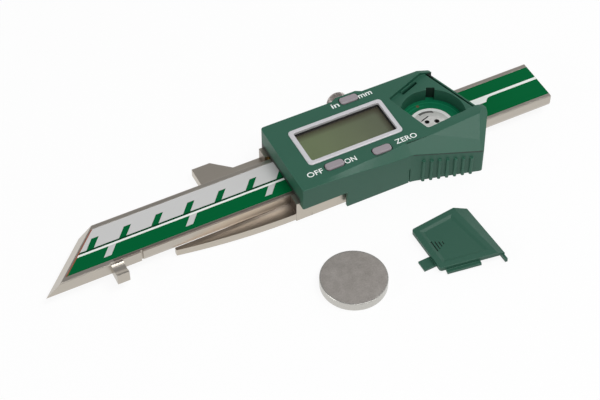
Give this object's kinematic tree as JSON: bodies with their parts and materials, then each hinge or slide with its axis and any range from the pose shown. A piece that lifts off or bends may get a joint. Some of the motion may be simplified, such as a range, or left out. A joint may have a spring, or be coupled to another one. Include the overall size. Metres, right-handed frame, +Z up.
{
  "type": "digital chamfer gauge",
  "caption": "Sliding gauge with a knife-ended steel beam, a moulded display head with keys, thin measuring jaws, a lock screw and an open battery bay.",
  "frame": {"origin": "on the resting face of the slider's back plate, under the middle of the beam and the lock screw", "axes": "+X along the beam away from its knife end, +Y towards the lock screw, +Z up out of the display"},
  "size_m": [0.1695, 0.0776, 0.015],
  "materials": {
    "beam_steel": "ground stainless steel, fine lengthwise grain",
    "scale_laminate": "thin glass-fibre board",
    "label_print": "printed film, green and silver-white fields under a clear coat",
    "frame_steel": "ground stainless steel",
    "gib_brass": "plain brass strip",
    "screw_steel": "small steel screws",
    "knob_steel": "turned and knurled steel",
    "housing_plastic": "fine-grained moulded plastic, dark green",
    "cover_plastic": "same moulded plastic as the housing",
    "bezel_silver": "silver-coated moulded frame",
    "window_clear": "clear acrylic",
    "lcd_olive": "grey-olive reflective display",
    "zebra_rubber": "conductive rubber strip",
    "board_laminate": "green solder-masked board",
    "chip_black": "moulded resin",
    "contact_metal": "nickel-plated spring sheet",
    "key_grey": "soft-touch moulded key, warm grey",
    "cell_steel": "nickel-plated steel can"
  },
  "bodies": {
    "slider": {"slider_frame": "frame_steel", "gib_strip": "gib_brass", "gib_screws": "screw_steel", "housing": "housing_plastic", "housing_screws": "screw_steel", "display_bezel": "bezel_silver", "display_window": "window_clear", "lcd_panel": "lcd_olive", "zebra_strips": "zebra_rubber", "circuit_board": "board_laminate", "controller_chip": "chip_black", "switch_domes": "contact_metal", "negative_contact": "contact_metal", "positive_contact": "contact_metal", "coin_cell": "cell_steel", "battery_cover": "cover_plastic"},
    "beam": {"beam_bar": "beam_steel", "scale_board": "scale_laminate", "scale_label": "label_print", "end_stop": "beam_steel", "end_stop_screws": "screw_steel"},
    "in_mm_key": {"in_mm_button": "key_grey"},
    "power_key": {"power_button": "key_grey"},
    "zero_key": {"zero_button": "key_grey"},
    "lock": {"lock_screw": "knob_steel"}
  },
  "joints": [
    {"name": "beam_slide", "type": "slide", "parent": "slider", "child": "beam", "axis": [1, 0, 0], "range_m": [-0.024, 0.016]},
    {"name": "in_mm_press", "type": "slide", "parent": "slider", "child": "in_mm_key", "axis": [0, 0, 1], "range_m": [-0.0005, 0], "stiffness_N_per_m": 300, "springref_m": 0.0004},
    {"name": "power_press", "type": "slide", "parent": "slider", "child": "power_key", "axis": [0, 0, 1], "range_m": [-0.0005, 0], "stiffness_N_per_m": 300, "springref_m": 0.0004},
    {"name": "zero_press", "type": "slide", "parent": "slider", "child": "zero_key", "axis": [0, 0, 1], "range_m": [-0.0005, 0], "stiffness_N_per_m": 300, "springref_m": 0.0004},
    {"name": "lock_turn", "type": "hinge", "parent": "slider", "child": "lock", "pos_m": [0, 0.0204, 0.0054], "axis": [0, 1, 0], "range_deg": [-240, 360]}
  ]
}
